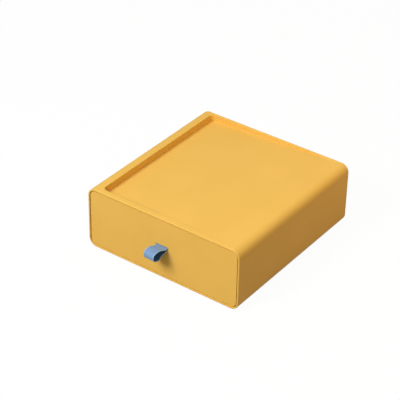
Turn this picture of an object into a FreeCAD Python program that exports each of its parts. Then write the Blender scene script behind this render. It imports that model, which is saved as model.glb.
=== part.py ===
import FreeCAD, Part
import math
import os

# Stackable drawer box: a moulded sleeve with a wedge-shaped tray in its top, and one drawer
# that slides out of its front on a ribbon pull.
# All sizes are in millimetres. X runs to the right, Y to the back and Z up.
# The origin is on the surface that the box stands on, in the middle of its whole footprint,
# ribbon loop included.

Vector = FreeCAD.Vector

# Sleeve
case_width = 200.0
case_depth = 210.0
case_height = 75.0
case_corner_radius = 10.0       # the four long edges
case_wall = 2.0
case_edge_round = 0.4           # front and back edges of the sleeve wall

# Tray in the top: deep on the left, level with the top on the right
tray_left_rim = 15.0
tray_right_land = 1.0           # flat strip left before the rounded right edge begins
tray_depth = 9.0
tray_wall = 2.0
tray_back_wall = 1.2
tray_corner_radius = 5.5
tray_floor_round = 2.5

# Foot pads, set into the underside
foot_diameter = 10.0
foot_proud = 0.8
foot_recess = 0.5
foot_round = 0.3
foot_fit = 0.1
foot_side_inset = 18.0
foot_end_inset = 14.0

# Rear panel and the frame inside the sleeve that it seats against
rear_panel_thickness = 1.6
rear_panel_inset = 0.2
rear_panel_gap = 0.3
rear_frame_thickness = 1.5
rear_frame_width = 3.0
rear_skirt_wall = 1.2
rear_skirt_fit = 0.1

# Soft bumpers that the drawer closes against
bumper_diameter = 8.0
bumper_height = 2.0
bumper_round = 0.8
bumper_clearance = 0.3
bumper_side_inset = 40.0
bumper_level = 32.0             # above the underside of the sleeve

# Drawer front panel
front_setback = 0.7
front_thickness = 3.8
front_gap = 0.75                # dark line all round the panel
front_edge_round = 0.8
front_pocket_clearance = 0.7    # behind the panel when the drawer is shut

# Guide rails on the side walls, with the stop that ends the drawer's travel
drawer_travel = 150.0
rail_thickness = 2.0
rail_height = 10.0
rail_level = 30.0               # middle of the rail above the underside of the sleeve
rail_set_in = 3.0
rail_stop_length = 4.0
rail_groove_depth = 1.2
rail_groove_height = 5.0
rail_round = 0.5
rail_end_clearance = 1.0
rail_clearance = 0.5            # between a rail and the side of the drawer
catch_diameter = 4.0
catch_groove_clearance = 0.4    # between a catch and the bottom of its groove
stop_clearance = 0.3

# Slippery strips on the sleeve's floor
glide_width = 8.0
glide_thickness = 0.8
glide_side_inset = 30.0
glide_set_in = 2.0
glide_clearance = 0.2           # between a strip and the drawer

# Drawer tub
tub_wall = 2.0
tub_corner_step = 1.5           # how much tighter its long edges are than the bay's
tub_rim_round = 0.6
tub_top_clearance = 1.0         # below the lowest part of the tray

# Ribbon pull
ribbon_width = 15.0
ribbon_thickness = 0.7
ribbon_ply_gap = 0.3
ribbon_reach = 23.0             # nose of the loop, out from the face of the panel
ribbon_level = 39.5             # middle of the slot above the underside of the sleeve
ribbon_bend = 0.75              # inner radius of the bends behind the drawer wall
ribbon_tail = 8.5
slot_side_clearance = 0.75
slot_face_clearance = 0.45
slot_edge_round = 0.3
slot_bend_fit = 0.05

# Clamp that holds the ribbon's two ends against the drawer wall
clamp_width = 32.0
clamp_height = 20.0
clamp_thickness = 2.0
clamp_channel_side = 0.4
clamp_channel_fit = 0.1
clamp_round = 1.0
clamp_screw_spacing = 24.0

# Screws
screw_diameter = 2.2
screw_head_diameter = 4.4
screw_head_height = 1.6
screw_head_round = 0.5
screw_bite = 2.5                # length of a screw inside the front panel
screw_hole_clearance = 0.25
screw_thread_fit = 0.05
screw_tip_room = 0.3
screw_cross_width = 0.6
screw_cross_depth = 0.8
screw_cross_share = 0.62        # of the head's diameter
front_screw_side_inset = 16.0
front_screw_end_inset = 12.0

# One overrun serves all cuts
overrun = 5.0

# Corners of the loop's middle line: out from the panel, up from the slot, radius of the bend,
# all as shares of the loop's reach. The nose itself is placed by the reach.
loop_rise_shares = [(0.065, 0.0, 0.17), (0.565, 0.217, 0.52)]
loop_nose_shares = [(0.200, 0.26), (-0.343, 0.24)]
loop_return_shares = [(0.543, -0.330, 0.13), (0.391, -0.200, 0.15), (0.174, -0.174, 0.13)]
loop_exit_share = 0.065

# Places worked out from the sizes above
overall_depth = case_depth + ribbon_reach - front_setback
case_back = overall_depth / 2
case_front = case_back - case_depth
case_bottom = foot_proud
case_top = case_bottom + case_height
half_width = case_width / 2

bay_half_width = half_width - case_wall
bay_floor = case_bottom + case_wall
bay_roof = case_top - case_wall
bay_corner_radius = case_corner_radius - case_wall

front_face = case_front + front_setback
front_back_face = front_face + front_thickness
pocket_end = front_back_face + front_pocket_clearance

tray_front = pocket_end + tray_wall
rear_seat = case_back - rear_panel_inset - rear_panel_thickness
rear_frame_face = rear_seat - rear_frame_thickness
tray_back = rear_seat - tray_back_wall
tray_left = tray_left_rim - half_width
tray_right = half_width - case_corner_radius - tray_right_land
tray_slope = tray_depth / (tray_right - tray_left)
tray_underside = case_top - tray_depth - tray_wall

rail_front = pocket_end + rail_set_in
rail_back = rear_frame_face - rail_end_clearance
rail_middle = case_bottom + rail_level
groove_front = rail_front + rail_stop_length

tub_half_width = bay_half_width - rail_thickness - rail_clearance
tub_bottom = bay_floor + glide_thickness + glide_clearance
tub_top = tray_underside - tub_top_clearance
tub_front = front_back_face
tub_back = rear_seat - bumper_height - bumper_clearance
tub_corner_radius = bay_corner_radius - tub_corner_step
tub_front_inside = tub_front + tub_wall

slot_middle = case_bottom + ribbon_level
ply_middle = (ribbon_ply_gap + ribbon_thickness) / 2
ply_outside = ply_middle + ribbon_thickness / 2
clamp_face = tub_front_inside + ribbon_thickness + clamp_channel_fit + clamp_thickness


def block(x0, x1, y0, y1, z0, z1):
    return Part.makeBox(x1 - x0, y1 - y0, z1 - z0, Vector(x0, y0, z0))


def cylinder(radius, height, base, direction):
    return Part.makeCylinder(radius, height, base, direction)


def edges_along(shape, direction):
    """Straight edges that run along a direction."""
    found = []
    for edge in shape.Edges:
        if isinstance(edge.Curve, Part.Line):
            run = edge.Vertexes[-1].Point - edge.Vertexes[0].Point
            if run.cross(direction).Length < 0.001 * run.Length:
                found.append(edge)
    return found


def edges_in_plane(shape, axis, place):
    """Edges that lie in the plane where the named coordinate has one value."""
    found = []
    for edge in shape.Edges:
        box = edge.BoundBox
        low = getattr(box, axis + "Min")
        high = getattr(box, axis + "Max")
        if abs(low - place) < 0.001 * case_wall and abs(high - place) < 0.001 * case_wall:
            found.append(edge)
    return found


def rounded_block(half, z0, z1, radius, y0, y1):
    """A block along Y whose four long edges are rounded."""
    plain = block(-half, half, y0, y1, z0, z1)
    return plain.makeFillet(radius, edges_along(plain, Vector(0, 1, 0)))


def mirrored(shape):
    return shape.mirror(Vector(0, 0, 0), Vector(1, 0, 0))


def prism_along_y(corners, y0, y1):
    """A prism over an outline of (x, z) corners."""
    points = [Vector(x, y0, z) for x, z in corners]
    face = Part.Face(Part.makePolygon(points + points[:1]))
    return face.extrude(Vector(0, y1 - y0, 0))


def tray_recess():
    """The space of the tray. Its floor runs on above the top, so that it ends there cleanly."""
    far_side = half_width + overrun
    floor_left = case_top - tray_depth
    floor_far = floor_left + tray_slope * (far_side - tray_left)
    lid = max(floor_far, case_top) + overrun
    corners = [
        (tray_left, floor_left),
        (far_side, floor_far),
        (far_side, lid),
        (tray_left, lid),
    ]
    space = prism_along_y(corners, tray_front, tray_back)
    upright = []
    for edge in edges_along(space, Vector(0, 0, 1)):
        if edge.BoundBox.XMax < tray_right:
            upright.append(edge)
    space = space.makeFillet(tray_corner_radius, upright)
    low = [edge for edge in space.Edges if edge.BoundBox.ZMin < case_top - tray_depth / 2
           and edge.BoundBox.ZMax < floor_far + tray_wall / 2]
    return space.makeFillet(tray_floor_round, low)


def tray_body():
    """The tray's floor and walls as a solid wedge, before the recess is cut out of it."""
    left = tray_left - tray_wall
    inside_top = case_top - case_wall / 2
    corners = [
        (left, tray_underside),
        (tray_left, tray_underside),
        (tray_right, case_top - tray_wall),
        (tray_right, inside_top),
        (left, inside_top),
    ]
    body = prism_along_y(corners, pocket_end, rear_seat)
    upright = []
    for edge in edges_along(body, Vector(0, 0, 1)):
        box = edge.BoundBox
        if box.XMax < tray_left - tray_wall / 2 and box.YMax < tray_back:
            upright.append(edge)
    return body.makeFillet(tray_corner_radius + tray_wall, upright)


def rear_opening(margin, y0, y1):
    """The opening in the rear frame, made smaller all round by a margin."""
    half = bay_half_width - rear_frame_width - margin
    low = bay_floor + rear_frame_width + margin
    high = tray_underside - tray_wall / 2 - margin
    radius = bay_corner_radius - rear_frame_width - margin
    return rounded_block(half, low, high, radius, y0, y1)


def foot_places():
    side = half_width - foot_side_inset
    front = case_front + foot_end_inset
    back = case_back - foot_end_inset
    return {
        "foot_pad_front_left": (-side, front),
        "foot_pad_front_right": (side, front),
        "foot_pad_rear_left": (-side, back),
        "foot_pad_rear_right": (side, back),
    }


def case_shell():
    outside = rounded_block(half_width, case_bottom, case_top, case_corner_radius, case_front, case_back)
    inside = rounded_block(bay_half_width, bay_floor, bay_roof, bay_corner_radius,
                           case_front - overrun, case_back + overrun)
    sleeve = outside.cut(inside)
    ends = edges_in_plane(sleeve, "Y", case_front) + edges_in_plane(sleeve, "Y", case_back)
    sleeve = sleeve.makeFillet(case_edge_round, ends)
    half_wall = case_wall / 2
    frame = rounded_block(bay_half_width + half_wall, bay_floor - half_wall, bay_roof + half_wall,
                          bay_corner_radius + half_wall, rear_frame_face, rear_seat)
    frame = frame.cut(rear_opening(0, rear_frame_face - overrun, rear_seat + overrun))
    shell = sleeve.fuse([tray_body(), frame]).removeSplitter()
    shell = shell.cut(tray_recess())
    for x, y in foot_places().values():
        socket = cylinder(foot_diameter / 2 + foot_fit, foot_recess + overrun,
                          Vector(x, y, case_bottom - overrun), Vector(0, 0, 1))
        shell = shell.cut(socket)
    return shell.removeSplitter()


def foot_pad(x, y):
    pad = cylinder(foot_diameter / 2, foot_proud + foot_recess, Vector(x, y, 0), Vector(0, 0, 1))
    return pad.makeFillet(foot_round, edges_in_plane(pad, "Z", 0))


def rear_panel():
    half = bay_half_width - rear_panel_gap
    radius = bay_corner_radius - rear_panel_gap
    outer_face = case_back - rear_panel_inset
    plate = rounded_block(half, bay_floor + rear_panel_gap, bay_roof - rear_panel_gap, radius,
                          rear_seat, outer_face)
    plate = plate.makeFillet(case_edge_round, edges_in_plane(plate, "Y", outer_face))
    skirt = rear_opening(rear_skirt_fit, rear_frame_face, rear_seat + rear_panel_thickness / 2)
    hollow = rear_opening(rear_skirt_fit + rear_skirt_wall, rear_frame_face - overrun, rear_seat)
    return plate.fuse(skirt).cut(hollow).removeSplitter()


def rear_bumper(x):
    base = Vector(x, rear_seat, case_bottom + bumper_level)
    bumper = cylinder(bumper_diameter / 2, bumper_height, base, Vector(0, -1, 0))
    return bumper.makeFillet(bumper_round, edges_in_plane(bumper, "Y", rear_seat - bumper_height))


def guide_rail():
    """The right rail: a strip with a groove that is closed at the front by the stop."""
    outer = bay_half_width
    inner = outer - rail_thickness
    low = rail_middle - rail_height / 2
    strip = block(inner, outer, rail_front, rail_back, low, low + rail_height)
    strip = strip.makeFillet(rail_round, edges_in_plane(strip, "X", inner))
    half_groove = rail_groove_height / 2
    groove = block(inner - overrun, inner + rail_groove_depth, groove_front, rail_back + overrun,
                   rail_middle - half_groove, rail_middle + half_groove)
    return strip.cut(groove)


def floor_glide(x):
    """A flat strip with round ends, stuck to the sleeve's floor."""
    front = pocket_end + glide_set_in
    back = rear_frame_face - rail_end_clearance
    half = glide_width / 2
    strip = block(x - half, x + half, front, back, bay_floor, bay_floor + glide_thickness)
    return strip.makeFillet(0.9 * half, edges_along(strip, Vector(0, 0, 1)))


def ribbon_slot(half_height, y0, y1):
    """A slot through a wall for the ribbon, with rounded ends."""
    half = ribbon_width / 2 + slot_side_clearance
    slot = block(-half, half, y0, y1, slot_middle - half_height, slot_middle + half_height)
    end_radius = min(slot_side_clearance, 0.8 * half_height)
    return slot.makeFillet(end_radius, edges_along(slot, Vector(0, 1, 0)))


def front_screw_places():
    side = tub_half_width - front_screw_side_inset
    low = tub_bottom + front_screw_end_inset
    high = tub_top - front_screw_end_inset
    return [(-side, low), (side, low), (-side, high), (side, high)]


def clamp_screw_places():
    side = clamp_screw_spacing / 2
    return [(-side, slot_middle), (side, slot_middle)]


def drawer_front():
    half = bay_half_width - front_gap
    radius = bay_corner_radius - front_gap
    panel = rounded_block(half, bay_floor + front_gap, bay_roof - front_gap, radius, front_face, front_back_face)
    panel = panel.makeFillet(front_edge_round, edges_in_plane(panel, "Y", front_face))
    slot_half = ply_outside + slot_face_clearance
    panel = panel.cut(ribbon_slot(slot_half, front_face - overrun, front_back_face + overrun))
    slot_edges = []
    for edge in edges_in_plane(panel, "Y", front_face):
        if abs(edge.CenterOfMass.x) < ribbon_width and abs(edge.CenterOfMass.z - slot_middle) < ribbon_width:
            slot_edges.append(edge)
    panel = panel.makeFillet(slot_edge_round, slot_edges)
    for x, z in front_screw_places() + clamp_screw_places():
        start = Vector(x, front_back_face + overrun, z)
        depth = overrun + screw_bite + screw_tip_room
        pilot = cylinder(screw_diameter / 2 + screw_thread_fit, depth, start, Vector(0, -1, 0))
        panel = panel.cut(pilot)
    return panel


def tub_space(margin, low_edge):
    """The tub's outer form, or with a margin the hollow inside it."""
    space = block(margin - tub_half_width, tub_half_width - margin, tub_front + margin,
                  tub_back - margin, tub_bottom + margin, low_edge)
    radius = tub_corner_radius - margin
    chosen = []
    for edge in edges_along(space, Vector(0, 0, 1)) + edges_in_plane(space, "Z", tub_bottom + margin):
        if margin > 0 or edge.CenterOfMass.y > tub_front + radius:
            chosen.append(edge)
    return space.makeFillet(radius, chosen)


def drawer_tub():
    tub = tub_space(0, tub_top).cut(tub_space(tub_wall, tub_top + overrun))
    rim = []
    for edge in edges_in_plane(tub, "Z", tub_top):
        if edge.CenterOfMass.y > tub_front + tub_wall / 2:
            rim.append(edge)
    tub = tub.makeFillet(tub_rim_round, rim)
    reach = rail_clearance + rail_groove_depth - catch_groove_clearance
    catch_place = groove_front + drawer_travel + stop_clearance + catch_diameter / 2
    start = Vector(tub_half_width - tub_wall / 2, catch_place, rail_middle)
    catch = cylinder(catch_diameter / 2, tub_wall / 2 + reach, start, Vector(1, 0, 0))
    tub = tub.fuse([catch, mirrored(catch)])
    slot_half = ply_outside + ribbon_bend + slot_bend_fit
    tub = tub.cut(ribbon_slot(slot_half, tub_front - overrun, tub_front_inside + tub_wall))
    for x, z in front_screw_places() + clamp_screw_places():
        hole = cylinder(screw_diameter / 2 + screw_hole_clearance, tub_wall + overrun,
                        Vector(x, tub_front - overrun, z), Vector(0, 1, 0))
        hole_end = cylinder(screw_diameter / 2 + screw_hole_clearance, tub_wall + overrun,
                            Vector(x, tub_front_inside + tub_wall, z), Vector(0, -1, 0))
        tub = tub.cut(hole.fuse(hole_end))
    return tub


def ribbon_corners():
    """Corners of the ribbon's middle line and the radius of each: out from the panel, up from the slot."""
    nose = ribbon_reach - ribbon_thickness / 2
    inside = -(front_thickness + tub_wall + ribbon_thickness / 2)
    bend = ribbon_bend + ribbon_thickness / 2
    corners = [(inside, ribbon_tail, 0), (inside, ply_middle, bend)]
    for out, up, radius in loop_rise_shares:
        height = max(up * ribbon_reach, ply_middle)
        corners.append((out * ribbon_reach, height, radius * ribbon_reach))
    for up, radius in loop_nose_shares:
        corners.append((nose, up * ribbon_reach, radius * ribbon_reach))
    for out, up, radius in loop_return_shares:
        corners.append((out * ribbon_reach, up * ribbon_reach, radius * ribbon_reach))
    corners.append((loop_exit_share * ribbon_reach, -ply_middle, loop_exit_share * ribbon_reach))
    corners.append((inside, -ply_middle, bend))
    corners.append((inside, -ribbon_tail, 0))
    return corners


def rounded_line(corners):
    """Turns corners with radii into straight runs and arcs: a list of (points, normals) pieces."""
    stops = [(Vector(corners[0][0], corners[0][1], 0), None)]
    for before, here, after in zip(corners, corners[1:], corners[2:]):
        corner = Vector(here[0], here[1], 0)
        into = (corner - Vector(before[0], before[1], 0)).normalize()
        out = (Vector(after[0], after[1], 0) - corner).normalize()
        turn = into.getAngle(out)
        tangent = here[2] * math.tan(turn / 2)
        side = 1 if into.cross(out).z > 0 else -1
        start = corner - into * tangent
        left = Vector(-into.y, into.x, 0) * side
        centre = start + left * here[2]
        end = corner + out * tangent
        middle = centre + (corner - centre).normalize() * here[2]
        stops.append((start, None))
        stops.append((end, (middle, centre, side)))
    stops.append((Vector(corners[-1][0], corners[-1][1], 0), None))
    pieces = []
    for (start, _), (end, arc) in zip(stops, stops[1:]):
        if arc is None:
            run = (end - start).normalize()
            normal = Vector(-run.y, run.x, 0)
            pieces.append(([start, end], [normal, normal]))
        else:
            middle, centre, side = arc
            points = [start, middle, end]
            normals = [(centre - point).normalize() * side for point in points]
            pieces.append((points, normals))
    return pieces


def pull_ribbon():
    """One strip: clamped end, through the slot, round the loop, back through the slot, clamped end."""
    pieces = rounded_line(ribbon_corners())
    sides = []
    for offset in (ribbon_thickness / 2, -ribbon_thickness / 2):
        side = []
        for points, normals in pieces:
            moved = [point + normal * offset for point, normal in zip(points, normals)]
            placed = [Vector(0, front_face - point.x, slot_middle + point.y) for point in moved]
            side.append(placed)
        sides.append(side)
    edges = []
    for side in sides:
        for points in side:
            if len(points) == 2:
                edges.append(Part.LineSegment(points[0], points[1]).toShape())
            else:
                edges.append(Part.Arc(points[0], points[1], points[2]).toShape())
    edges.append(Part.LineSegment(sides[0][0][0], sides[1][0][0]).toShape())
    edges.append(Part.LineSegment(sides[0][-1][-1], sides[1][-1][-1]).toShape())
    outline = Part.Wire(Part.__sortEdges__(edges))
    strip = Part.Face(outline).extrude(Vector(ribbon_width, 0, 0))
    strip.translate(Vector(-ribbon_width / 2, 0, 0))
    return strip


def ribbon_clamp():
    """A bar across the ribbon's ends, with a shallow channel that they lie in."""
    half = clamp_width / 2
    half_height = clamp_height / 2
    bar = block(-half, half, tub_front_inside, clamp_face, slot_middle - half_height, slot_middle + half_height)
    bar = bar.makeFillet(clamp_round, edges_in_plane(bar, "Y", clamp_face))
    channel_half = ribbon_width / 2 + clamp_channel_side
    channel_depth = ribbon_thickness + clamp_channel_fit
    channel = block(-channel_half, channel_half, tub_front_inside - overrun, tub_front_inside + channel_depth,
                    slot_middle - clamp_height, slot_middle + clamp_height)
    bar = bar.cut(channel)
    for x, z in clamp_screw_places():
        hole = cylinder(screw_diameter / 2 + screw_hole_clearance, clamp_width,
                        Vector(x, clamp_face + overrun, z), Vector(0, -1, 0))
        bar = bar.cut(hole)
    return bar


def screw(x, z, seat, grip):
    """A cross-head screw driven forwards: its head rests on the seat, its tip bites the panel."""
    head = cylinder(screw_head_diameter / 2, screw_head_height, Vector(x, seat, z), Vector(0, 1, 0))
    crown = seat + screw_head_height
    head = head.makeFillet(screw_head_round, edges_in_plane(head, "Y", crown))
    shank = cylinder(screw_diameter / 2, grip + screw_bite + screw_head_height / 2,
                     Vector(x, seat + screw_head_height / 2, z), Vector(0, -1, 0))
    body = head.fuse(shank)
    long_half = screw_cross_share * screw_head_diameter / 2
    short_half = screw_cross_width / 2
    floor = crown - screw_cross_depth
    body = body.cut(block(x - long_half, x + long_half, floor, crown + overrun, z - short_half, z + short_half))
    body = body.cut(block(x - short_half, x + short_half, floor, crown + overrun, z - long_half, z + long_half))
    return body.removeSplitter()


def front_screws():
    return Part.makeCompound([screw(x, z, tub_front_inside, tub_wall) for x, z in front_screw_places()])


def clamp_screws():
    grip = clamp_face - tub_front
    return Part.makeCompound([screw(x, z, clamp_face, grip) for x, z in clamp_screw_places()])


def all_parts():
    parts = {
        "case_shell": case_shell(),
        "rear_panel": rear_panel(),
        "rear_bumper_left": rear_bumper(bumper_side_inset - half_width),
        "rear_bumper_right": rear_bumper(half_width - bumper_side_inset),
        "guide_rail_left": mirrored(guide_rail()),
        "guide_rail_right": guide_rail(),
        "floor_glide_left": floor_glide(glide_side_inset - half_width),
        "floor_glide_right": floor_glide(half_width - glide_side_inset),
        "drawer_front": drawer_front(),
        "drawer_tub": drawer_tub(),
        "pull_ribbon": pull_ribbon(),
        "ribbon_clamp": ribbon_clamp(),
        "clamp_screws": clamp_screws(),
        "front_screws": front_screws(),
    }
    for name, (x, y) in foot_places().items():
        parts[name] = foot_pad(x, y)
    return parts


os.makedirs("parts", exist_ok=True)
for name, shape in all_parts().items():
    shape.exportStep("parts/" + name + ".step")
    print(name, "valid" if shape.isValid() else "NOT VALID", len(shape.Solids), round(shape.Volume, 1))
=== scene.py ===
import math

import bmesh
import bpy
from mathutils import Matrix, Vector


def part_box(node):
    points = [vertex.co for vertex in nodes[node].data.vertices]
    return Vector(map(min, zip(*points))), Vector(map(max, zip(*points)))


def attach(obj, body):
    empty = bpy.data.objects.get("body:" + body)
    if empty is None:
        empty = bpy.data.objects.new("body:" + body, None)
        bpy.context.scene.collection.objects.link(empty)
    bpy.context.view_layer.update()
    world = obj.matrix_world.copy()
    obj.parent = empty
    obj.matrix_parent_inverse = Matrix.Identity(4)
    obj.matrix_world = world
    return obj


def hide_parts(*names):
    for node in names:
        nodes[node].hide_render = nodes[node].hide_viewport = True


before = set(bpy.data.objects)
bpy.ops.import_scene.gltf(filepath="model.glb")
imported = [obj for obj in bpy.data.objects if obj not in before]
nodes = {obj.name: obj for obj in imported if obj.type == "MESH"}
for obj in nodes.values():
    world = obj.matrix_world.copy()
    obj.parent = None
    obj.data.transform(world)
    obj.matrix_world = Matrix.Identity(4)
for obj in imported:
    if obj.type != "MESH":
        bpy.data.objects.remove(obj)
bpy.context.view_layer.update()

mm = 0.001
hair = 0.01 * mm                # closer than this counts as the same place
tiny = 1e-9                     # keeps a division off zero
aligned = 0.999                 # cosine from which a direction counts as along an axis
foldAngle = math.radians(30)    # where a surface turns by more than this, it has an edge
smoothAngle = math.radians(38)  # and up to this it is shaded smooth
print("frame loaded:", len(nodes), "nodes")


# Hand tools: small wrappers round the edit mode operators

def clearSelection():
    if bpy.context.mode != "OBJECT":
        bpy.ops.object.mode_set(mode="OBJECT")
    bpy.ops.object.select_all(action="DESELECT")


def activate(*pieces):
    clearSelection()
    for piece in pieces:
        piece.select_set(True)
    bpy.context.view_layer.objects.active = pieces[0]


def editMesh(piece, kind):
    if piece.mode != "EDIT":
        activate(piece)
        bpy.ops.object.mode_set(mode="EDIT")
    bpy.ops.mesh.select_mode(type=kind)
    bpy.ops.mesh.select_all(action="DESELECT")
    return bmesh.from_edit_mesh(piece.data)


def pickFaces(piece, wanted):
    mesh = editMesh(piece, "FACE")
    for face in mesh.faces:
        if wanted(face.calc_center_median(), face.normal):
            face.select_set(True)
    bmesh.update_edit_mesh(piece.data)


# picks edges by the places of their two ends, and of those only where the surface turns
def pickEdges(piece, wanted):
    mesh = editMesh(piece, "EDGE")
    for edge in mesh.edges:
        folded = len(edge.link_faces) != 2 or edge.calc_face_angle(0) > foldAngle
        if folded and wanted(edge.verts[0].co, edge.verts[1].co):
            edge.select_set(True)
    bmesh.update_edit_mesh(piece.data)


def pickVertices(piece, wanted):
    mesh = editMesh(piece, "VERT")
    for vertex in mesh.verts:
        if wanted(vertex.co):
            vertex.select_set(True)
    bmesh.update_edit_mesh(piece.data)


def near(value, place):
    return abs(value - place) < hair


def runsAlong(axis):
    return lambda a, b: abs((b - a).normalized()[axis]) > aligned


def inPlane(axis, place):
    return lambda a, b: near(a[axis], place) and near(b[axis], place)


def bevelPicked(size, steps):
    bpy.ops.mesh.bevel(offset=size, segments=steps, profile=0.5, affect="EDGES", clamp_overlap=False)


def boxPiece(name, low, high):
    clearSelection()
    low, high = Vector(low), Vector(high)
    bpy.ops.mesh.primitive_cube_add(size=1, location=(low + high) / 2)
    piece = bpy.context.object
    piece.name = name
    piece.data.name = name
    piece.scale = high - low
    bpy.ops.object.transform_apply(location=True, rotation=True, scale=True)
    return piece


def roundedBox(name, low, high, radius, steps, axis=1):
    piece = boxPiece(name, low, high)
    pickEdges(piece, runsAlong(axis))
    bevelPicked(radius, steps)
    return piece


def rod(name, start, end, radius, sides):
    clearSelection()
    start, end = Vector(start), Vector(end)
    bpy.ops.mesh.primitive_cylinder_add(vertices=sides, radius=radius, depth=(end - start).length,
                                        location=(start + end) / 2)
    piece = bpy.context.object
    piece.name = name
    piece.data.name = name
    piece.rotation_mode = "QUATERNION"
    piece.rotation_quaternion = (end - start).to_track_quat("Z", "Y")
    bpy.ops.object.transform_apply(location=True, rotation=True, scale=True)
    return piece


def combine(piece, tool, operation="DIFFERENCE"):
    activate(piece)
    modifier = piece.modifiers.new("combine", "BOOLEAN")
    modifier.operation = operation
    modifier.solver = "EXACT"
    modifier.object = tool
    bpy.ops.object.modifier_apply(modifier=modifier.name)
    bpy.data.objects.remove(tool)


def finishPiece(piece, body, slotName, material, *replaced):
    activate(piece)
    bpy.ops.object.shade_smooth_by_angle(angle=smoothAngle)
    evenNormals = piece.modifiers.new("even normals", "WEIGHTED_NORMAL")
    evenNormals.keep_sharp = True
    bpy.ops.object.modifier_apply(modifier=evenNormals.name)
    piece.data.materials.clear()
    piece.data.materials.append(material)
    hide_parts(*replaced)
    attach(piece, body)
    print(piece.name, "made:", len(piece.data.polygons), "faces")


# the way to something so many degrees round to the right of the front and above the floor
def direction(azimuth, elevation):
    turn, rise = math.radians(azimuth), math.radians(elevation)
    return Vector((math.sin(turn) * math.cos(rise), -math.cos(turn) * math.cos(rise), math.sin(rise)))


# Camera, where the photographer stood

caseLow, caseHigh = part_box("case_shell")
cameraPlace = {
    "azimuth": 35.76,           # degrees round to the right of the front
    "elevation": 33.76,
    "roll": 1.12,
    "distance": 1691.7 * mm,    # from the middle of the case
    "toLeft": 21.53 * mm,
    "toTop": 4.89 * mm,
    "lens": 138.04,
    "sensor": 36.0,
}


def makeCamera(place):
    back = direction(place["azimuth"], place["elevation"])
    roll = math.radians(place["roll"])
    level = Vector((0, 0, 1)).cross(back).normalized()
    upright = back.cross(level)
    right = level * math.cos(roll) + upright * math.sin(roll)
    up = upright * math.cos(roll) - level * math.sin(roll)
    camera = bpy.data.objects.new("camera", bpy.data.cameras.new("camera"))
    bpy.context.scene.collection.objects.link(camera)
    camera.data.lens = place["lens"]
    camera.data.sensor_width = place["sensor"]
    turned = Matrix((right, up, back)).transposed().to_4x4()
    turned.translation = ((caseLow + caseHigh) / 2 + back * place["distance"]
                          - right * place["toLeft"] + up * place["toTop"])
    camera.matrix_world = turned
    bpy.context.scene.camera = camera


makeCamera(cameraPlace)
print("camera set")


# Materials

def newMaterial(name):
    material = bpy.data.materials.new(name)
    material.use_nodes = True
    return material, material.node_tree, material.node_tree.nodes["Principled BSDF"]


def addNode(tree, kind, settings=None, **sockets):
    node = tree.nodes.new(kind)
    for key, value in (settings or {}).items():
        setattr(node, key, value)
    for key, value in sockets.items():
        node.inputs[key.replace("_", " ")].default_value = value
    return node


# a maths node whose values are numbers or other nodes' outputs
def calculate(tree, operation, *values):
    node = addNode(tree, "ShaderNodeMath", {"operation": operation})
    for socket, value in zip(node.inputs, values):
        if isinstance(value, (int, float)):
            socket.default_value = value
        else:
            tree.links.new(value, socket)
    return node.outputs[0]


def mixColours(tree, factor, first, second, blend="MIX"):
    mix = addNode(tree, "ShaderNodeMixRGB", {"blend_type": blend}, Color2=(*second, 1))
    tree.links.new(factor, mix.inputs["Fac"])
    tree.links.new(first, mix.inputs["Color1"])
    return mix.outputs[0]


def mixShaders(tree, factor, first, second, target):
    mix = addNode(tree, "ShaderNodeMixShader")
    tree.links.new(factor, mix.inputs["Fac"])
    tree.links.new(first, mix.inputs[1])
    tree.links.new(second, mix.inputs[2])
    tree.links.new(mix.outputs[0], target)


def spreadColours(tree, factor, dark, light, low=0.35, high=0.65):
    ramp = addNode(tree, "ShaderNodeValToRGB")
    ramp.color_ramp.elements[0].position = low
    ramp.color_ramp.elements[0].color = (*dark, 1)
    ramp.color_ramp.elements[1].position = high
    ramp.color_ramp.elements[1].color = (*light, 1)
    tree.links.new(factor, ramp.inputs["Fac"])
    return ramp.outputs["Color"]


def spreadValues(tree, factor, low, high):
    spread = addNode(tree, "ShaderNodeMapRange", From_Min=0.3, From_Max=0.7, To_Min=low, To_Max=high)
    tree.links.new(factor, spread.inputs["Value"])
    return spread.outputs["Result"]


# colour, roughness and fine relief of a surface
def dressShader(tree, shader, finish, colour, unevenness, relief, depth):
    roughness = spreadValues(tree, unevenness, *finish["roughness"])
    bump = addNode(tree, "ShaderNodeBump", Strength=finish["bump"], Distance=depth)
    tree.links.new(colour, shader.inputs["Base Color"])
    tree.links.new(roughness, shader.inputs["Roughness"])
    tree.links.new(relief, bump.inputs["Height"])
    tree.links.new(bump.outputs["Normal"], shader.inputs["Normal"])


def mouldedPlastic(name, finish):
    material, tree, shader = newMaterial(name)
    place = addNode(tree, "ShaderNodeTexCoord").outputs["Object"]
    cloud = addNode(tree, "ShaderNodeTexNoise", Scale=1 / finish["cloudSize"], Detail=3.0)
    grain = addNode(tree, "ShaderNodeTexNoise", Scale=1 / finish["grainSize"], Detail=2.0, Roughness=0.6)
    for noise in (cloud, grain):
        tree.links.new(place, noise.inputs["Vector"])
    colour = spreadColours(tree, cloud.outputs["Fac"], finish["dark"], finish["light"])
    relief = grain.outputs["Fac"]
    dressShader(tree, shader, finish, colour, relief, relief, finish["grainDepth"])
    shader.inputs["Specular IOR Level"].default_value = finish["specular"]
    return material


warmYellow = {
    "dark": (0.758, 0.452, 0.089),
    "light": (0.780, 0.466, 0.095),
    "cloudSize": 45 * mm,
    "grainSize": 0.35 * mm,     # fine spark-eroded texture of the mould
    "grainDepth": 0.02 * mm,
    "bump": 0.35,
    "roughness": (0.50, 0.60),
    "specular": 0.126,
}
yellowPlastic = mouldedPlastic("yellow moulded plastic", warmYellow)

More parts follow.
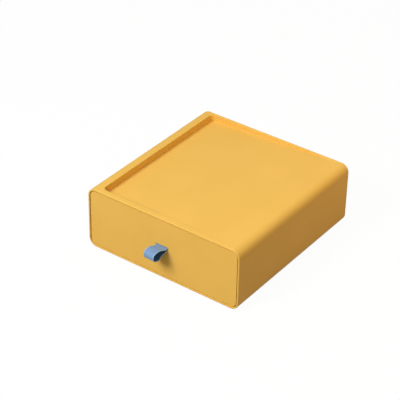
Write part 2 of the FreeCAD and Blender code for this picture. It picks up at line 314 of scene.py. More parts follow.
slipperyWhite = {
    "dark": (0.70, 0.69, 0.65),
    "light": (0.76, 0.75, 0.71),
    "cloudSize": 12 * mm,
    "grainSize": 0.25 * mm,
    "grainDepth": 0.01 * mm,
    "bump": 0.2,
    "roughness": (0.26, 0.36),
    "specular": 0.5,
}
railPlastic = mouldedPlastic("slippery white plastic", slipperyWhite)

softGrey = {
    "dark": (0.42, 0.42, 0.40),
    "light": (0.47, 0.47, 0.45),
    "cloudSize": 6 * mm,
    "grainSize": 0.2 * mm,
    "grainDepth": 0.03 * mm,
    "bump": 0.5,
    "roughness": (0.72, 0.85),
    "specular": 0.3,
}
bumperRubber = mouldedPlastic("pale grey rubber", softGrey)

darkGrey = {**softGrey, "dark": (0.20, 0.20, 0.19), "light": (0.24, 0.24, 0.23)}
footRubber = mouldedPlastic("grey rubber", darkGrey)

offWhite = {**warmYellow, "dark": (0.63, 0.61, 0.56), "light": (0.68, 0.66, 0.61)}
clampPlastic = mouldedPlastic("off-white moulded plastic", offWhite)

zincFinish = {
    "dark": (0.50, 0.51, 0.52),
    "light": (0.64, 0.64, 0.63),
    "cloudSize": 1.5 * mm,
    "scratchSize": 0.12 * mm,
    "scratchDepth": 0.01 * mm,
    "bump": 0.3,
    "roughness": (0.28, 0.42),
}


def platedSteel(name, finish):
    material, tree, shader = newMaterial(name)
    place = addNode(tree, "ShaderNodeTexCoord").outputs["Object"]
    cloud = addNode(tree, "ShaderNodeTexNoise", Scale=1 / finish["cloudSize"], Detail=4.0)
    scratch = addNode(tree, "ShaderNodeTexNoise", Scale=1 / finish["scratchSize"], Detail=2.0,
                      Distortion=1.5)
    for noise in (cloud, scratch):
        tree.links.new(place, noise.inputs["Vector"])
    colour = spreadColours(tree, cloud.outputs["Fac"], finish["dark"], finish["light"])
    relief = scratch.outputs["Fac"]
    dressShader(tree, shader, finish, colour, relief, relief, finish["scratchDepth"])
    shader.inputs["Metallic"].default_value = 1
    return material


zincSteel = platedSteel("zinc plated steel", zincFinish)

innerSheet = 2                      # how far the inner side's part of the ribbon's map is shifted

ribbonFinish = {
    "valley": (0.130, 0.240, 0.440),
    "crest": (0.245, 0.370, 0.565),
    "spread": (0.1, 0.9),           # where on the ribs' waves the colours of valley and crest lie
    "selvedge": (0.360, 0.530, 0.720),
    "selvedgeShare": 0.045,         # of the width, at either edge, painted paler as a highlight
    "dullSide": (0.40, 0.68, 1.0),  # painted shade: the inner side's colour as a share of the outer's, darker and bluer
    "ribs": 102,                    # as many as the modelled strip has
    "ribShare": 0.3,                # of the waves in the colour, beside the flecks: painted shade in the rib valleys, painted light on the crests
    "threads": 46,
    "threadShare": 0.5,             # of the waves in the relief, beside the flecks
    "threadDepth": 0.03 * mm,
    "fleckSize": 0.3 * mm,
    "bump": 0.5,
    "roughness": (0.55, 0.75),
    "sheen": 0.12,
    "sheenRoughness": 0.4,
    "specular": 0.12,
}


# ribs across the strip and fine threads along it, both laid out on the strip's own map
def wovenRibbon(name, finish):
    material, tree, shader = newMaterial(name)
    weave = addNode(tree, "ShaderNodeUVMap", {"uv_map": "weave"}).outputs["UV"]
    split = addNode(tree, "ShaderNodeSeparateXYZ")
    tree.links.new(weave, split.inputs[0])
    across, along = split.outputs["X"], split.outputs["Y"]
    fleck = addNode(tree, "ShaderNodeTexNoise", Scale=1 / finish["fleckSize"], Detail=3.0)
    tree.links.new(addNode(tree, "ShaderNodeTexCoord").outputs["Object"], fleck.inputs["Vector"])
    flecks = fleck.outputs["Fac"]

    def waves(source, count):
        return calculate(tree, "COSINE", calculate(tree, "MULTIPLY", source, 2 * math.pi * count))

    # the colour mixes random flecks with the ribs' waves, which paint shade into the valleys and light onto
    # the crests
    shade = calculate(tree, "MULTIPLY_ADD", waves(along, finish["ribs"]), finish["ribShare"], flecks)
    relief = calculate(tree, "MULTIPLY_ADD", waves(across, finish["threads"]), finish["threadShare"], flecks)
    colour = spreadColours(tree, shade, finish["valley"], finish["crest"], *finish["spread"])
    # the inner side of the loop gets painted shade: its colour is multiplied darker and bluer
    isInner = calculate(tree, "GREATER_THAN", across, innerSheet - 0.5)
    colour = mixColours(tree, isInner, colour, finish["dullSide"], "MULTIPLY")
    # paler stripes along both edges of the strip are a painted highlight where the edges catch the light
    offMiddle = calculate(tree, "SUBTRACT", calculate(tree, "FRACT", across), 0.5)
    isEdgeHighlight = calculate(tree, "GREATER_THAN", calculate(tree, "ABSOLUTE", offMiddle),
                           0.5 - finish["selvedgeShare"])
    colour = mixColours(tree, isEdgeHighlight, colour, finish["selvedge"])
    dressShader(tree, shader, finish, colour, flecks, relief, finish["threadDepth"])
    shader.inputs["Sheen Weight"].default_value = finish["sheen"]
    shader.inputs["Sheen Roughness"].default_value = finish["sheenRoughness"]
    shader.inputs["Specular IOR Level"].default_value = finish["specular"]
    return material


grosgrain = wovenRibbon("steel blue grosgrain", ribbonFinish)
print("materials ready")


# Case shell: one moulding with the tray sunk into its top

caseShape = {
    "wall": 2 * mm,
    "cornerRadius": 10 * mm,
    "cornerSteps": 14,
    "edgeRound": 0.85 * mm,     # round the outside of both ends
    "innerRound": 0.35 * mm,
    "edgeSteps": 4,
    "trayLeftRim": 15 * mm,
    "trayFrontRim": 7.2 * mm,
    "trayBackRim": 3 * mm,
    "trayRightLand": 1 * mm,
    "trayDepth": 9 * mm,
    "trayCorner": 5.5 * mm,
    "trayCornerSteps": 8,
    "rimRound": 0.7 * mm,
    "rimSteps": 4,
    "floorRound": 0.3 * mm,
    "floorSteps": 6,
    "roundShares": (0.28, 0.72),    # of the tray's depth, where it is too shallow for both rounds
    "cutShares": (0, 0.25, 0.5, 0.75),  # along the shallow stretch, places where it is cut across
    "frameWidth": 3 * mm,
    "frameThickness": 1.5 * mm,
    "frameSteps": 8,
    "overlap": 1 * mm,
    "socketRoom": 0.1 * mm,     # round a foot
    "socketSides": 64,
}


# inset and drop of each step round a convex edge
def roundOver(radius, steps):
    turns = [math.pi / 2 * step / steps for step in range(steps + 1)]
    return [(radius * (math.sin(b) - math.sin(a)), radius * (math.cos(a) - math.cos(b)))
            for a, b in zip(turns, turns[1:])]


def roundInto(radius, steps):
    return [(drop, inset) for inset, drop in roundOver(radius, steps)]


def interpolate(value, places, results):
    for a, b, low, high in zip(places, places[1:], results, results[1:]):
        if value <= b:
            return low + (high - low) * (value - a) / max(b - a, tiny)
    return results[-1]


def sunkTray(name, plan, shape, rimRound, floorRound):
    clearSelection()
    centre = ((plan["left"] + plan["right"]) / 2, (plan["front"] + plan["back"]) / 2, plan["top"])
    bpy.ops.mesh.primitive_plane_add(size=1, location=centre)
    tray = bpy.context.object
    tray.name = name
    tray.scale = (plan["right"] - plan["left"], plan["back"] - plan["front"], 1)
    bpy.ops.object.transform_apply(location=True, rotation=True, scale=True)
    pickVertices(tray, lambda p: near(p.x, plan["left"]) and p.y < plan["roundBefore"])
    bpy.ops.mesh.bevel(offset=plan["corner"], segments=shape["trayCornerSteps"], affect="VERTICES")
    pickFaces(tray, lambda centre, normal: True)
    wall = shape["trayDepth"] - rimRound - floorRound
    rimPath = roundOver(rimRound, shape["rimSteps"]) if rimRound else []
    floorPath = roundInto(floorRound, shape["floorSteps"]) if floorRound else []
    for inset, drop in rimPath + [(0, wall)] + floorPath:
        bpy.ops.mesh.inset(thickness=inset, depth=-drop)
    # the right side has no wall: its edge goes back to where the floor meets the top
    drawnIn = rimRound + floorRound
    pickVertices(tray, lambda p: p.x > plan["right"] - drawnIn - hair)
    bpy.ops.transform.resize(value=(0, 1, 1), center_override=(plan["right"], 0, 0))
    pickFaces(tray, lambda centre, normal: near(centre.x, plan["right"]))
    bpy.ops.mesh.delete(type="FACE")
    slope = shape["trayDepth"] / (plan["right"] - plan["left"])
    shallow = plan["right"] - drawnIn / slope
    for share in shape["cutShares"] if drawnIn else ():
        cut = shallow + share * (plan["right"] - shallow)
        pickFaces(tray, lambda centre, normal: True)
        bpy.ops.mesh.bisect(plane_co=(cut, 0, 0), plane_no=(1, 0, 0))
    clearSelection()
    rimShare, floorShare = shape["roundShares"]
    for vertex in tray.data.vertices:
        depth = min(slope * (plan["right"] - vertex.co.x), shape["trayDepth"])
        rim = min(rimRound, rimShare * depth)
        floor = min(floorRound, floorShare * depth)
        was = [0, rimRound, shape["trayDepth"] - floorRound, shape["trayDepth"]]
        now = [0, rim, depth - floor, depth]
        vertex.co.z = plan["top"] - interpolate(plan["top"] - vertex.co.z, was, now)
    pickFaces(tray, lambda centre, normal: True)
    bpy.ops.mesh.remove_doubles(threshold=hair)
    clearSelection()
    return tray


def skinWithTray(name, low, high, radius, plan, shape, rimRound=0, floorRound=0):
    skin = roundedBox(name, low, high, radius, shape["cornerSteps"])
    pickFaces(skin, lambda centre, normal: abs(normal.y) > aligned)
    bpy.ops.mesh.delete(type="FACE")
    pickFaces(skin, lambda centre, normal: normal.z > aligned)
    bpy.ops.mesh.delete(type="ONLY_FACE")
    tray = sunkTray(name + "Tray", plan, shape, rimRound, floorRound)
    activate(skin, tray)
    bpy.ops.object.join()
    mesh = editMesh(skin, "EDGE")
    for edge in mesh.edges:
        level = near(edge.verts[0].co.z, plan["top"]) and near(edge.verts[1].co.z, plan["top"])
        if level and len(edge.link_faces) < 2:
            edge.select_set(True)
    bmesh.update_edit_mesh(skin.data)
    bpy.ops.mesh.fill(use_beauty=True)
    bpy.ops.mesh.select_all(action="SELECT")
    bpy.ops.mesh.remove_doubles(threshold=hair)
    bpy.ops.mesh.normals_make_consistent(inside=False)
    clearSelection()
    return skin


# whether a point lies on the outer outline of the sleeve's end
def onOutline(point):
    radius = caseShape["cornerRadius"]
    middle, half = (caseLow + caseHigh) / 2, (caseHigh - caseLow) / 2
    cornerX = max(abs(point.x - middle.x) - (half.x - radius), 0)
    cornerZ = max(abs(point.z - middle.z) - (half.z - radius), 0)
    return near(math.hypot(cornerX, cornerZ), radius)


def makeCase(shape):
    wall = shape["wall"]
    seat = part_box("rear_panel")[0].y + shape["frameThickness"]
    outerPlan = {
        "left": caseLow.x + shape["trayLeftRim"] - shape["rimRound"],
        "right": caseHigh.x - shape["cornerRadius"] - shape["trayRightLand"],
        "front": caseLow.y + shape["trayFrontRim"] - shape["rimRound"],
        "back": caseHigh.y - shape["trayBackRim"] + shape["rimRound"],
        "top": caseHigh.z,
        "corner": shape["trayCorner"] + shape["rimRound"],
        "roundBefore": caseHigh.y,
    }
    innerPlan = {
        "left": caseLow.x + shape["trayLeftRim"] - wall,
        "right": outerPlan["right"],
        "front": caseLow.y + shape["trayFrontRim"] - wall,
        "back": seat,
        "top": caseHigh.z - wall,
        "corner": shape["trayCorner"] + wall,
        "roundBefore": 0,
    }
    case = skinWithTray("caseShell", caseLow, caseHigh, shape["cornerRadius"], outerPlan, shape,
                        shape["rimRound"], shape["floorRound"])
    thick = Vector((wall, 0, wall))
    bay = skinWithTray("bay", caseLow + thick, caseHigh - thick, shape["cornerRadius"] - wall,
                       innerPlan, shape)
    pickFaces(bay, lambda centre, normal: True)
    bpy.ops.mesh.flip_normals()
    activate(case, bay)
    bpy.ops.object.join()
    for end in (caseLow.y, caseHigh.y):
        pickEdges(case, inPlane(1, end))
        bpy.ops.mesh.bridge_edge_loops()
    for end in (caseLow.y, caseHigh.y):
        for size, outside in ((shape["edgeRound"], True), (shape["innerRound"], False)):
            pickEdges(case, lambda a, b: inPlane(1, end)(a, b) and onOutline(a) == onOutline(b) == outside)
            bevelPicked(size, shape["edgeSteps"])
    addRearFrame(case, shape, seat)
    for corner in ("front_left", "front_right", "rear_left", "rear_right"):
        padLow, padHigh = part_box("foot_pad_" + corner)
        middle = (padLow + padHigh) / 2
        socket = rod("socket", (middle.x, middle.y, -wall), (middle.x, middle.y, padHigh.z),
                     (padHigh.x - padLow.x) / 2 + shape["socketRoom"], shape["socketSides"])
        combine(case, socket)
    finishPiece(case, "case", "case_plastic", yellowPlastic, "case_shell")


# the frame inside the back of the sleeve that the rear panel seats against
def addRearFrame(case, shape, seat):
    wall, width, overlap = shape["wall"], shape["frameWidth"], shape["overlap"]
    face = seat - shape["frameThickness"]
    bayRadius = shape["cornerRadius"] - wall
    ring = roundedBox("ring", (caseLow.x + overlap, face, caseLow.z + overlap),
                      (caseHigh.x - overlap, seat, caseHigh.z - overlap),
                      bayRadius + overlap, shape["cornerSteps"])
    openingTop = caseHigh.z - shape["trayDepth"] - wall - wall / 2
    opening = roundedBox("opening", (caseLow.x + wall + width, face - overlap, caseLow.z + wall + width),
                         (caseHigh.x - wall - width, seat + overlap, openingTop),
                         bayRadius - width, shape["frameSteps"])
    combine(ring, opening)
    trayCut = boxPiece("trayCut", (caseLow.x, face - overlap, caseHigh.z - shape["trayDepth"] - wall / 2),
                       (caseHigh.x, seat + overlap, caseHigh.z))
    combine(ring, trayCut)
    combine(case, ring, "UNION")


makeCase(caseShape)


# Drawer: front, tub, and the screws that join them

frontLow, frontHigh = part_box("drawer_front")
tubLow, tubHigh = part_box("drawer_tub")
clampLow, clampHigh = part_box("ribbon_clamp")
ribbonLow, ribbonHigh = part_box("pull_ribbon")
railLow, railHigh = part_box("guide_rail_right")
slotMiddle = (clampLow.z + clampHigh.z) / 2

screwShape = {
    "headRadius": 2.2 * mm,
    "headHeight": 1.6 * mm,
    "headRound": 0.9 * mm,
    "headSides": 48,
    "headSteps": 5,
    "shankRadius": 1.1 * mm,
    "shankSides": 32,
    "tipRound": 0.4 * mm,
    "tipSteps": 2,
    "bite": 2.5 * mm,           # inside the drawer front
    "holeRadius": 1.35 * mm,
    "holeSides": 32,
    "pilotRadius": 1.15 * mm,
    "pilotSides": 24,
    "pilotDepth": 2.8 * mm,
    "crossWidth": 0.62 * mm,
    "crossLength": 2.7 * mm,
    "crossDepth": 0.9 * mm,
    "crossTaper": 0.55,
}

frontShape = {
    "cornerRadius": 6.6 * mm,
    "cornerSteps": 12,
    "edgeRound": 0.25 * mm,
    "edgeSteps": 3,
    "playRight": 0.4 * mm,      # the front sits low and left in its opening, so the gap is wider here
    "playTop": 0.4 * mm,
    "backRound": 0.2 * mm,
    "backSteps": 2,
    "slotHalfHeight": 1.3 * mm,
    "slotRoom": 0.75 * mm,      # beside the ribbon
    "slotEnd": 0.6 * mm,
    "slotEndSteps": 5,
    "slotRound": 0.3 * mm,
    "slotSteps": 3,
}

tubShape = {
    "wall": 2 * mm,
    "sideRoom": 0.5 * mm,       # to the rails
    "cornerRadius": 6.5 * mm,
    "cornerSteps": 10,
    "rimRound": 0.6 * mm,
    "rimSteps": 4,
    "catchRadius": 2 * mm,
    "catchSides": 48,
    "catchRound": 0.3 * mm,
    "catchSteps": 3,
    "slotHalfHeight": 1.65 * mm,
}


# where the middle of each head meets the face that it rests on
def screwSeats(nodeName):
    low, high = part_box(nodeName)
    radius = screwShape["headRadius"]
    oneRow = high.z - low.z < 4 * radius
    levels = [(low.z + high.z) / 2] if oneRow else [low.z + radius, high.z - radius]
    return [Vector((x, high.y - screwShape["headHeight"], z))
            for z in levels for x in (low.x + radius, high.x - radius)]


frontSeats = screwSeats("front_screws")
clampSeats = screwSeats("clamp_screws")


def slotCutter(halfHeight, front, back):
    half = (ribbonHigh.x - ribbonLow.x) / 2 + frontShape["slotRoom"]
    return roundedBox("slotCutter", (-half, front, slotMiddle - halfHeight),
                      (half, back, slotMiddle + halfHeight),
                      frontShape["slotEnd"], frontShape["slotEndSteps"])


def makeFront(shape):
    seatedHigh = frontHigh - Vector((shape["playRight"], 0, shape["playTop"]))
    front = roundedBox("drawerFront", frontLow, seatedHigh, shape["cornerRadius"], shape["cornerSteps"])
    pickEdges(front, inPlane(1, frontLow.y))
    bevelPicked(shape["edgeRound"], shape["edgeSteps"])
    pickEdges(front, inPlane(1, frontHigh.y))
    bevelPicked(shape["backRound"], shape["backSteps"])
    depth = frontHigh.y - frontLow.y
    combine(front, slotCutter(shape["slotHalfHeight"], frontLow.y - depth, frontHigh.y + depth))
    reach = (ribbonHigh.x - ribbonLow.x) / 2 + 2 * shape["slotRoom"]
    pickEdges(front, lambda a, b: inPlane(1, frontLow.y)(a, b) and max(abs(a.x), abs(b.x)) < reach
              and max(abs(a.z - slotMiddle), abs(b.z - slotMiddle)) < reach)
    bevelPicked(shape["slotRound"], shape["slotSteps"])
    for seat in frontSeats + clampSeats:
        pilot = rod("pilot", (seat.x, frontHigh.y - screwShape["pilotDepth"], seat.z),
                    (seat.x, frontHigh.y + depth, seat.z),
                    screwShape["pilotRadius"], screwShape["pilotSides"])
        combine(front, pilot)
    finishPiece(front, "drawer", "drawer_plastic", yellowPlastic, "drawer_front")


def makeTub(shape):
    wall, radius = shape["wall"], shape["cornerRadius"]
    side = railLow.x - shape["sideRoom"]
    tub = boxPiece("drawerTub", (-side, tubLow.y, tubLow.z), (side, tubHigh.y, tubHigh.z))
    bottomEdge, backEdge, frontEdge = inPlane(2, tubLow.z), inPlane(1, tubHigh.y), inPlane(1, tubLow.y)
    pickEdges(tub, lambda a, b: bottomEdge(a, b) and not frontEdge(a, b)
              or backEdge(a, b) and runsAlong(2)(a, b))
    bevelPicked(radius, shape["cornerSteps"])
    hollow = boxPiece("hollow", (wall - side, tubLow.y + wall, tubLow.z + wall),
                      (side - wall, tubHigh.y - wall, tubHigh.z + wall))
    pickEdges(hollow, lambda a, b: inPlane(2, tubLow.z + wall)(a, b) or runsAlong(2)(a, b))
    bevelPicked(radius - wall, shape["cornerSteps"])
    combine(tub, hollow)
    pickEdges(tub, lambda a, b: inPlane(2, tubHigh.z)(a, b) and not frontEdge(a, b))
    bevelPicked(shape["rimRound"], shape["rimSteps"])
    # catches that run in the rails' grooves, where the tub is widest
    wide = [vertex.co.y for vertex in nodes["drawer_tub"].data.vertices if near(vertex.co.x, tubHigh.x)]
    catchPlace = (min(wide) + max(wide)) / 2
    level = (railLow.z + railHigh.z) / 2
    for hand in (-1, 1):
        catch = rod("catch", (hand * (side - wall / 2), catchPlace, level),
                    (hand * tubHigh.x, catchPlace, level), shape["catchRadius"], shape["catchSides"])
        pickEdges(catch, inPlane(0, hand * tubHigh.x))
        bevelPicked(shape["catchRound"], shape["catchSteps"])
        combine(tub, catch, "UNION")
    combine(tub, slotCutter(shape["slotHalfHeight"], tubLow.y - wall, tubLow.y + 2 * wall))
    for seat in frontSeats + clampSeats:
        hole = rod("hole", (seat.x, tubLow.y - wall, seat.z), (seat.x, tubLow.y + 2 * wall, seat.z),
                   screwShape["holeRadius"], screwShape["holeSides"])
        combine(tub, hole)
    finishPiece(tub, "drawer", "drawer_plastic", yellowPlastic, "drawer_tub")


# a pan-head screw that points forwards, with its cross pressed into the head
def makeScrew(name, seat, grip, shape):
    crown = seat.y + shape["headHeight"]
    screw = rod(name, seat, (seat.x, crown, seat.z), shape["headRadius"], shape["headSides"])
    pickEdges(screw, inPlane(1, crown))
    bevelPicked(shape["headRound"], shape["headSteps"])
    tip = seat.y - grip - shape["bite"]
    shank = rod("shank", (seat.x, tip, seat.z), (seat.x, seat.y + shape["headHeight"] / 2, seat.z),
                shape["shankRadius"], shape["shankSides"])
    pickEdges(shank, inPlane(1, tip))
    bevelPicked(shape["tipRound"], shape["tipSteps"])
    combine(screw, shank, "UNION")
    arm = (shape["crossLength"], shape["crossWidth"])
    for length, width in (arm, reversed(arm)):
        bar = boxPiece("bar", (seat.x - length / 2, crown - shape["crossDepth"], seat.z - width / 2),
                       (seat.x + length / 2, crown + shape["headHeight"], seat.z + width / 2))
        pickFaces(bar, lambda centre, normal: normal.y < -aligned)
        bpy.ops.transform.resize(value=(shape["crossTaper"], 1, shape["crossTaper"]), center_override=seat)
        combine(screw, bar)
    return screw


def copyPiece(piece, name, shift):
    twin = piece.copy()
    twin.data = piece.data.copy()
    twin.name = name
    twin.data.name = name
    bpy.context.scene.collection.objects.link(twin)
    twin.data.transform(Matrix.Translation(shift))
    return twin


def makeScrews(groupName, nodeName, seats, grip):
    first = makeScrew(groupName + "1", seats[0], grip, screwShape)
    group = [first]
    for number, seat in enumerate(seats[1:], start=2):
        group.append(copyPiece(first, groupName + str(number), seat - seats[0]))
    for screw in group:
        finishPiece(screw, "drawer", "screw_steel", zincSteel, nodeName)


makeFront(frontShape)
makeTub(tubShape)
makeScrews("frontScrew", "front_screws", frontSeats, tubShape["wall"])
makeScrews("clampScrew", "clamp_screws", clampSeats, clampHigh.y - tubLow.y)


# Clamp bar over the ribbon's two ends

clampShape = {
    "edgeRound": 1 * mm,
    "edgeSteps": 4,
    "channelRoom": 0.4 * mm,
    "channelDepth": 0.8 * mm,
}


def makeClamp(shape):
    clamp = boxPiece("ribbonClamp", clampLow, clampHigh)
    pickEdges(clamp, inPlane(1, clampHigh.y))
    bevelPicked(shape["edgeRound"], shape["edgeSteps"])
    half = (ribbonHigh.x - ribbonLow.x) / 2 + shape["channelRoom"]
    above = clampHigh.z - clampLow.z
    combine(clamp, boxPiece("channel", (-half, clampLow.y - shape["channelDepth"], clampLow.z - above),
                            (half, clampLow.y + shape["channelDepth"], clampHigh.z + above)))
    for seat in clampSeats:
        hole = rod("hole", (seat.x, clampLow.y - above, seat.z), (seat.x, clampHigh.y + above, seat.z),
                   screwShape["holeRadius"], screwShape["holeSides"])
        combine(clamp, hole)
    finishPiece(clamp, "drawer", "clamp_plastic", clampPlastic, "ribbon_clamp")


makeClamp(clampShape)


# Ribbon pull: one strip of grosgrain, both ends under the clamp

ribbonShape = {
    "thickness": 0.7 * mm,
    "ribPitch": 0.8 * mm,
    "ribDepth": 0.07 * mm,
    "stepsPerRib": 6,
    "acrossSteps": 16,
    "edgeSteps": 5,
    "plainEdge": 0.9 * mm,      # selvedge without ribs
    "plainShare": 0.5,          # of it, where the ribs haven't begun
    "twistShare": 0.052,        # of the reach, how much further out the right edge of the loop is
    "tilt": 0.6 * mm,           # how much higher it is there
    "tiltReach": 22 * mm,       # from this far out
    "lineSteps": 24,
    # its middle line: millimetres out from the panel and up from the slot
    "line": [(-6.15, 8.5), (-6.15, 5.4), (-6.15, 2.9), (-6.15, 0.5), (-3.75, 0.35), (-1.2, 0.15), (1.4, 0.0),
             (4.6, 0.7), (8.4, 2.2), (12.2, 4.1), (16.4, 4.3), (20.2, 4.1), (22.8, 2.5), (23.3, -1.1),
             (22.2, -4.0), (19.3, -5.9), (17.0, -6.7), (13.0, -7.6), (11.3, -5.2), (9.0, -3.8), (6.0, -3.7),
             (3.0, -3.4), (0.9, -1.7), (-0.8, -0.85), (-3.75, -0.65), (-6.15, -0.5), (-6.15, -2.9),
             (-6.15, -5.4), (-6.15, -8.5)],
}


# the points of a smooth curve that has the given ones as its control points
def smoothLine(points, steps):
    curve = bpy.data.curves.new("ribbonLine", "CURVE")
    curve.dimensions = "3D"
    curve.resolution_u = steps
    spline = curve.splines.new("NURBS")
    spline.points.add(len(points) - 1)
    for target, (out, up) in zip(spline.points, points):
        target.co = (0, -out * mm, up * mm, 1)
    spline.order_u = 4
    spline.use_endpoint_u = True
    holder = bpy.data.objects.new("ribbonLine", curve)
    bpy.context.scene.collection.objects.link(holder)
    bpy.context.view_layer.update()
    mesh = bpy.data.meshes.new_from_object(holder)
    line = [vertex.co.copy() for vertex in mesh.vertices]
    bpy.data.objects.remove(holder)
    bpy.data.meshes.remove(mesh)
    return line


# the same line in equal steps: (place, direction) pairs, and its length
def evenSteps(line, count):
    gone = [0.0]
    for a, b in zip(line, line[1:]):
        gone.append(gone[-1] + (b - a).length)
    length, at, stops = gone[-1], 0, []
    for i in range(count + 1):
        want = length * i / count
        while at < len(gone) - 2 and gone[at + 1] < want:
            at += 1
        share = (want - gone[at]) / max(gone[at + 1] - gone[at], tiny)
        stops.append((line[at].lerp(line[at + 1], share), (line[at + 1] - line[at]).normalized()))
    return stops, length


# places round the strip's cut: across, and towards its face, with the depth that ribs have there
def stripSection(shape, half, bead):
    section = []
    for face in (1, -1):
        for i in range(shape["acrossSteps"] + 1):
            across = face * (half - bead) * (1 - 2 * i / shape["acrossSteps"])
            fade = min(max((half - abs(across)) / shape["plainEdge"] - shape["plainShare"], 0), 1)
            section.append((across, face * bead, face * fade))
        for i in range(1, shape["edgeSteps"]):
            turn = math.pi * i / shape["edgeSteps"]
            section.append((face * (bead - half - bead * math.sin(turn)), face * bead * math.cos(turn), 0))
    return section


def makeRibbon(shape):
    half = (ribbonHigh.x - ribbonLow.x) / 2
    line = smoothLine(shape["line"], shape["lineSteps"])
    length = evenSteps(line, 1)[1]
    ribs = round(length / shape["ribPitch"])
    stops = evenSteps(line, ribs * shape["stepsPerRib"])[0]
    section = stripSection(shape, half, shape["thickness"] / 2)
    mesh = bmesh.new()
    weave = mesh.loops.layers.uv.new("weave")
    rows = []
    for i, (place, along) in enumerate(stops):
        facing = Vector((0, -along.z, along.y))
        dip = shape["ribDepth"] * (0.5 - 0.5 * math.cos(2 * math.pi * i / shape["stepsPerRib"]))
        out = max(-place.y, 0)
        row = []
        for across, proud, ribbed in section:
            side = across / half
            point = place + facing * (proud - dip * ribbed)
            point.y -= shape["twistShare"] * side * out
            point.z += shape["tilt"] * side * min(out / shape["tiltReach"], 1)
            row.append(mesh.verts.new((across, frontLow.y + point.y, slotMiddle + point.z)))
        rows.append(row)
    count = len(section)
    for i, (low, high) in enumerate(zip(rows, rows[1:])):
        for j in range(count):
            k = (j + 1) % count
            face = mesh.faces.new((low[j], low[k], high[k], high[j]))
            sides = [section[j][0], section[k][0], section[k][0], section[j][0]]
            sheet = innerSheet if section[j][1] > 0 else 0
            for loop, across, step in zip(face.loops, sides, (i, i, i + 1, i + 1)):
                loop[weave].uv = (across / (2 * half) + 0.5 + sheet, step / (len(rows) - 1))
    mesh.faces.new(rows[0])
    mesh.faces.new(list(reversed(rows[-1])))
    bmesh.ops.recalc_face_normals(mesh, faces=mesh.faces)
    ribbon = bpy.data.objects.new("pullRibbon", bpy.data.meshes.new("pullRibbon"))
    bpy.context.scene.collection.objects.link(ribbon)
    mesh.to_mesh(ribbon.data)
    mesh.free()
    activate(ribbon)
    bpy.ops.object.shade_smooth()
    ribbon.data.materials.append(grosgrain)
    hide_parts("pull_ribbon")
    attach(ribbon, "drawer")
    print("pullRibbon made:", ribs, "ribs,", round(length / mm, 1), "mm long")


makeRibbon(ribbonShape)


# Soft pads: feet under the case and bumpers at its back

padShape = {
    "footSides": 64,
    "footRound": 0.5 * mm,
    "footSteps": 4,
    "footDish": 0.25 * mm,
    "footRim": 1.2 * mm,
    "bumperSides": 48,
    "bumperRound": 0.9 * mm,
    "bumperSteps": 5,
}


def makeFoot(low, high):
    middle = (low + high) / 2
    foot = rod("foot", (middle.x, middle.y, low.z), (middle.x, middle.y, high.z),
               (high.x - low.x) / 2, padShape["footSides"])
    pickEdges(foot, inPlane(2, low.z))
    bevelPicked(padShape["footRound"], padShape["footSteps"])
    pickFaces(foot, lambda centre, normal: normal.z < -aligned)
    bpy.ops.mesh.inset(thickness=padShape["footRim"])
    bpy.ops.mesh.inset(thickness=padShape["footDish"], depth=-padShape["footDish"])
    return foot


def makeBumper(low, high):
    middle = (low + high) / 2
    bumper = rod("bumper", (middle.x, high.y, middle.z), (middle.x, low.y, middle.z),
                 (high.x - low.x) / 2, padShape["bumperSides"])
    pickEdges(bumper, inPlane(1, low.y))
    bevelPicked(padShape["bumperRound"], padShape["bumperSteps"])
    return bumper


def makePads(nodeStart, pieceStart, slotName, material, maker):
    first = None
    for nodeName in sorted(name for name in nodes if name.startswith(nodeStart)):
        low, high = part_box(nodeName)
        pieceName = pieceStart + "".join(word.title() for word in nodeName[len(nodeStart):].split("_"))
        if first is None:
            first, start = maker(low, high), low
            pad = first
            pad.name = pieceName
        else:
            pad = copyPiece(first, pieceName, low - start)
        finishPiece(pad, "case", slotName, material, nodeName)


makePads("foot_pad", "footPad", "foot_rubber", footRubber, makeFoot)
makePads("rear_bumper", "rearBumper", "bumper_rubber", bumperRubber, makeBumper)


# The other CAD nodes keep their shape and get their finish

def dress(nodeName, material):
    mesh = nodes[nodeName].data
    mesh.materials.clear()
    mesh.materials.append(material)


for nodeName in nodes:
    if nodeName.startswith(("guide_rail", "floor_glide")):
        dress(nodeName, railPlastic)
dress("rear_panel", yellowPlastic)
print("carried-over nodes dressed")


# Floor, light and background

studio = {
    "world": (0.275, 0.220, 0.121),
    "floorSize": 12000 * mm,
    "floorColour": (0.29, 0.29, 0.29),
    "floorRoughness": 0.9,
    "floorGlow": 1.10,          # what the camera sees added to the lit floor, so that it comes out white
    "floorGlowShare": 0.87,
    "floorDrop": 0.1 * mm,      # below the feet, so that the two don't coincide
}

# each lamp points at the middle of the case, from the given distance
lamps = [
    {"name": "key", "azimuth": -14, "elevation": 42, "distance": 2000 * mm,
     "size": 900 * mm, "level": 0.93, "colour": (1, 1, 1)},
    {"name": "rightFill", "azimuth": 116, "elevation": 35, "distance": 600 * mm,
     "size": 420 * mm, "level": 0.27, "colour": (1, 0.66, 0.34)},
    {"name": "overhead", "azimuth": 20, "elevation": 86, "distance": 1500 * mm,
     "size": 1200 * mm, "level": 0.30, "colour": (0.36, 0.62, 1)},
    {"name": "backFill", "azimuth": 195, "elevation": 6, "distance": 1300 * mm,
     "size": 900 * mm, "level": 0.14, "colour": (1, 1, 1)},
]


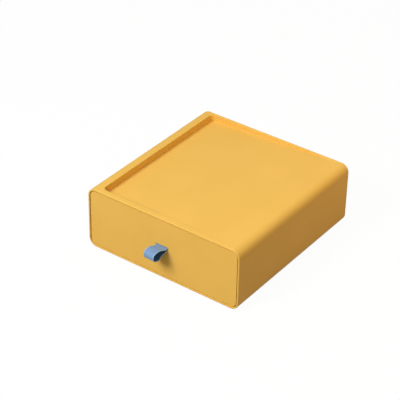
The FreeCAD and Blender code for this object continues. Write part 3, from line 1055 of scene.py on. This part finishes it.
# 1 for what the camera, a reflection or clear glass shows, and 0 for light on the object
def seenDirectly(tree):
    rays = addNode(tree, "ShaderNodeLightPath").outputs
    first = calculate(tree, "MAXIMUM", rays["Is Camera Ray"], rays["Is Glossy Ray"])
    return calculate(tree, "MAXIMUM", first, rays["Is Transmission Ray"])


def makeWorld(setup):
    world = bpy.data.worlds.new("studio")
    bpy.context.scene.world = world
    world.use_nodes = True
    tree = world.node_tree
    light = tree.nodes["Background"]
    light.inputs["Color"].default_value = (*setup["world"], 1)
    white = addNode(tree, "ShaderNodeBackground", Color=(1, 1, 1, 1), Strength=1.0)
    mixShaders(tree, seenDirectly(tree), light.outputs[0], white.outputs[0],
               tree.nodes["World Output"].inputs["Surface"])


def makeFloor(setup):
    clearSelection()
    bpy.ops.mesh.primitive_plane_add(size=setup["floorSize"], location=(0, 0, -setup["floorDrop"]))
    floor = bpy.context.object
    floor.name = "studioFloor"
    material, tree, shader = newMaterial("studio floor")
    shader.inputs["Base Color"].default_value = (*setup["floorColour"], 1)
    shader.inputs["Roughness"].default_value = setup["floorRoughness"]
    shader.inputs["Specular IOR Level"].default_value = 0
    glow = addNode(tree, "ShaderNodeEmission", Color=(1, 1, 1, 1), Strength=setup["floorGlow"])
    share = calculate(tree, "MULTIPLY", seenDirectly(tree), setup["floorGlowShare"])
    mixShaders(tree, share, shader.outputs[0], glow.outputs[0],
               tree.nodes["Material Output"].inputs["Surface"])
    floor.data.materials.append(material)


def addLamp(lamp):
    towards = direction(lamp["azimuth"], lamp["elevation"])
    light = bpy.data.lights.new(lamp["name"], "AREA")
    light.shape = "DISK"
    light.size = lamp["size"]
    light.color = lamp["colour"]
    light.energy = lamp["level"] * (math.pi * lamp["distance"]) ** 2     # level 1 shows white as white
    source = bpy.data.objects.new(lamp["name"], light)
    source.location = (caseLow + caseHigh) / 2 + towards * lamp["distance"]
    source.rotation_mode = "QUATERNION"
    source.rotation_quaternion = towards.to_track_quat("Z", "Y")
    bpy.context.scene.collection.objects.link(source)


makeWorld(studio)
makeFloor(studio)
for lamp in lamps:
    addLamp(lamp)
bpy.context.scene.view_settings.view_transform = "Standard"
print("studio lit")

clearSelection()
